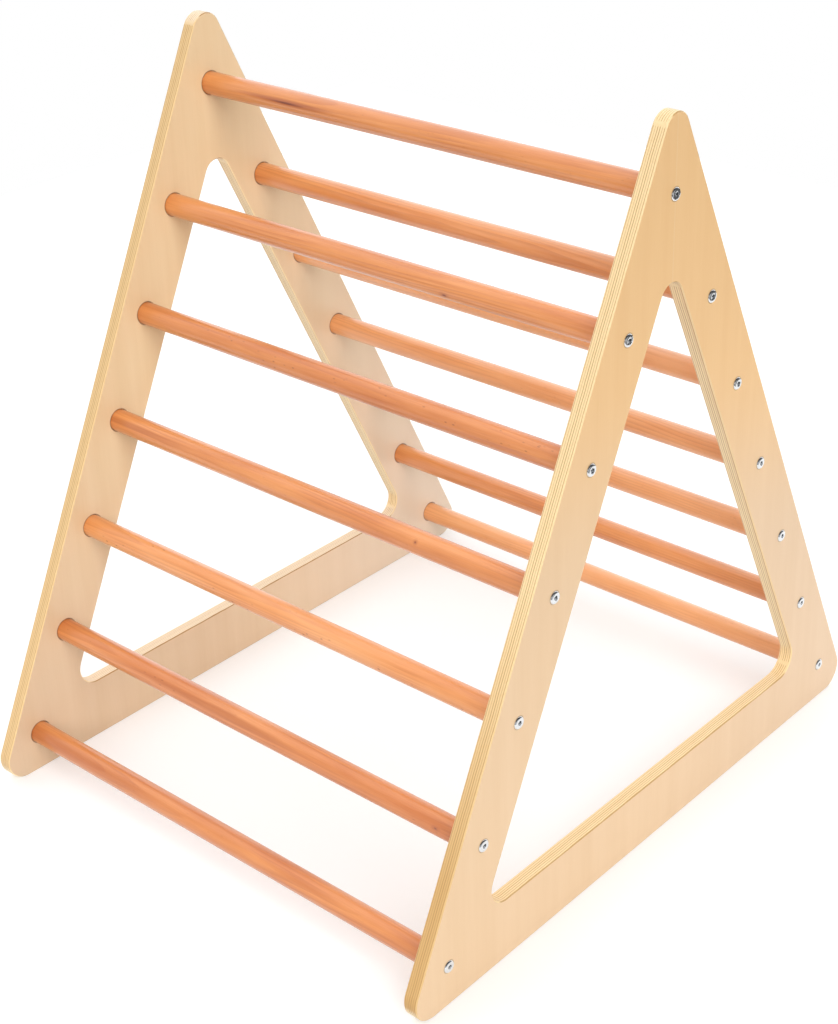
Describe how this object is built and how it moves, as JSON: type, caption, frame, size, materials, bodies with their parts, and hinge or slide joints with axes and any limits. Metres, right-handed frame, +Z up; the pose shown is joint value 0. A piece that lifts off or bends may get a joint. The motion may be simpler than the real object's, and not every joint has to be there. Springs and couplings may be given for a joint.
{
  "type": "climbing triangle",
  "caption": "Fixed wooden climbing triangle: plywood A-frame side panels with rounded cut-outs, joined by bolted round rungs that a toddler climbs.",
  "frame": {"origin": "floor level, midway between the two panels and midway between the front and back feet", "axes": "+X along the rungs towards the right panel, +Y from the front legs to the back legs, +Z up"},
  "size_m": [0.7036, 0.8538, 0.8869],
  "materials": {
    "birch_plywood": "clear matt lacquer on sanded birch plywood",
    "beech": "clear satin lacquer on turned steamed beech",
    "zinc_plated_steel": "bright zinc plate",
    "zinc_alloy": "plain cast"
  },
  "bodies": {
    "root": {"left_panel": "birch_plywood", "right_panel": "birch_plywood", "top_rung": "beech", "front_rung_1": "beech", "front_rung_2": "beech", "front_rung_3": "beech", "front_rung_4": "beech", "front_rung_5": "beech", "front_rung_6": "beech", "back_rung_1": "beech", "back_rung_2": "beech", "back_rung_3": "beech", "back_rung_4": "beech", "back_rung_5": "beech", "back_rung_6": "beech", "left_top_bolt": "zinc_plated_steel", "left_front_bolts": "zinc_plated_steel", "left_back_bolts": "zinc_plated_steel", "right_top_bolt": "zinc_plated_steel", "right_front_bolts": "zinc_plated_steel", "right_back_bolts": "zinc_plated_steel", "left_top_insert": "zinc_alloy", "left_front_inserts": "zinc_alloy", "left_back_inserts": "zinc_alloy", "right_top_insert": "zinc_alloy", "right_front_inserts": "zinc_alloy", "right_back_inserts": "zinc_alloy"}
  },
  "joints": []
}
